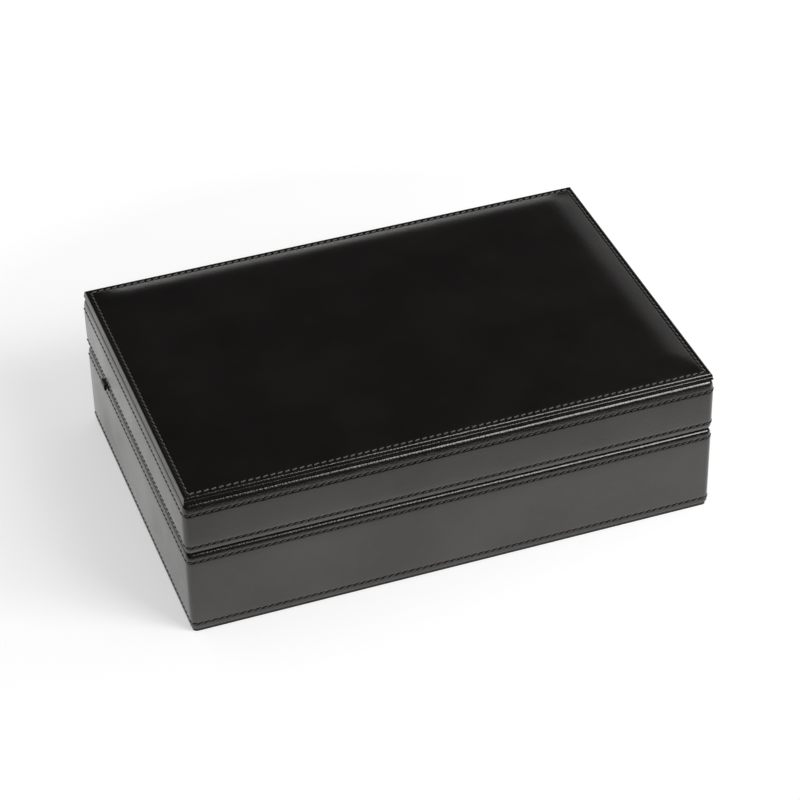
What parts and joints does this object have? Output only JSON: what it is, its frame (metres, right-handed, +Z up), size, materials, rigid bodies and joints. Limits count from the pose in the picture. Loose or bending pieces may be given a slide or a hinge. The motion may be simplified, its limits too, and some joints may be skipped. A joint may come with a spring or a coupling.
{
  "type": "stationery box",
  "caption": "Shallow rectangular box covered in stitched black leather, with a padded lid hinged at the back and ribbon stays.",
  "frame": {"origin": "middle of the flat face that the box stands on", "axes": "+X along the long front edge, to the right as seen from the front; +Y towards the hinged back; +Z up"},
  "size_m": [0.3032, 0.2065, 0.094],
  "materials": {
    "wall_leather": "smooth, semi-gloss black",
    "panel_leather": "smooth, semi-gloss black, padded and stitched",
    "bottom_cover": "matt black",
    "board": "raw fibreboard",
    "card": "raw card",
    "foam": "open foam",
    "lining": "suede-like nap",
    "brass": "polished",
    "ribbon": "woven ribbon",
    "thread": "twisted waxed thread"
  },
  "bodies": {
    "base": {"base_bottom_cover": "bottom_cover", "base_floor_board": "board", "base_front_board": "board", "base_back_board": "board", "base_left_board": "board", "base_right_board": "board", "base_wall_leather": "wall_leather", "base_wall_lining": "lining", "base_floor_pad": "lining", "left_hinge_base_leaf": "brass", "right_hinge_base_leaf": "brass", "left_hinge_pin": "brass", "right_hinge_pin": "brass", "base_hinge_screws": "brass", "base_stay_tacks": "brass", "left_stay_ribbon": "ribbon", "right_stay_ribbon": "ribbon"},
    "lid": {"lid_top_board": "board", "lid_front_board": "board", "lid_back_board": "board", "lid_left_board": "board", "lid_right_board": "board", "lid_wall_leather": "wall_leather", "lid_wall_lining": "lining", "lid_ceiling_pad": "lining", "lid_filler_card": "card", "lid_panel_backing": "panel_leather", "lid_panel_foam": "foam", "lid_panel_leather": "panel_leather", "left_hinge_lid_leaf": "brass", "right_hinge_lid_leaf": "brass", "lid_hinge_screws": "brass", "lid_stay_tacks": "brass"}
  },
  "joints": [
    {"name": "lid_hinge", "type": "hinge", "parent": "base", "child": "lid", "pos_m": [0, 0.102, 0.0532], "axis": [-1, 0, 0], "range_deg": [0, 100], "deforming": ["left_stay_ribbon", "right_stay_ribbon"]}
  ]
}
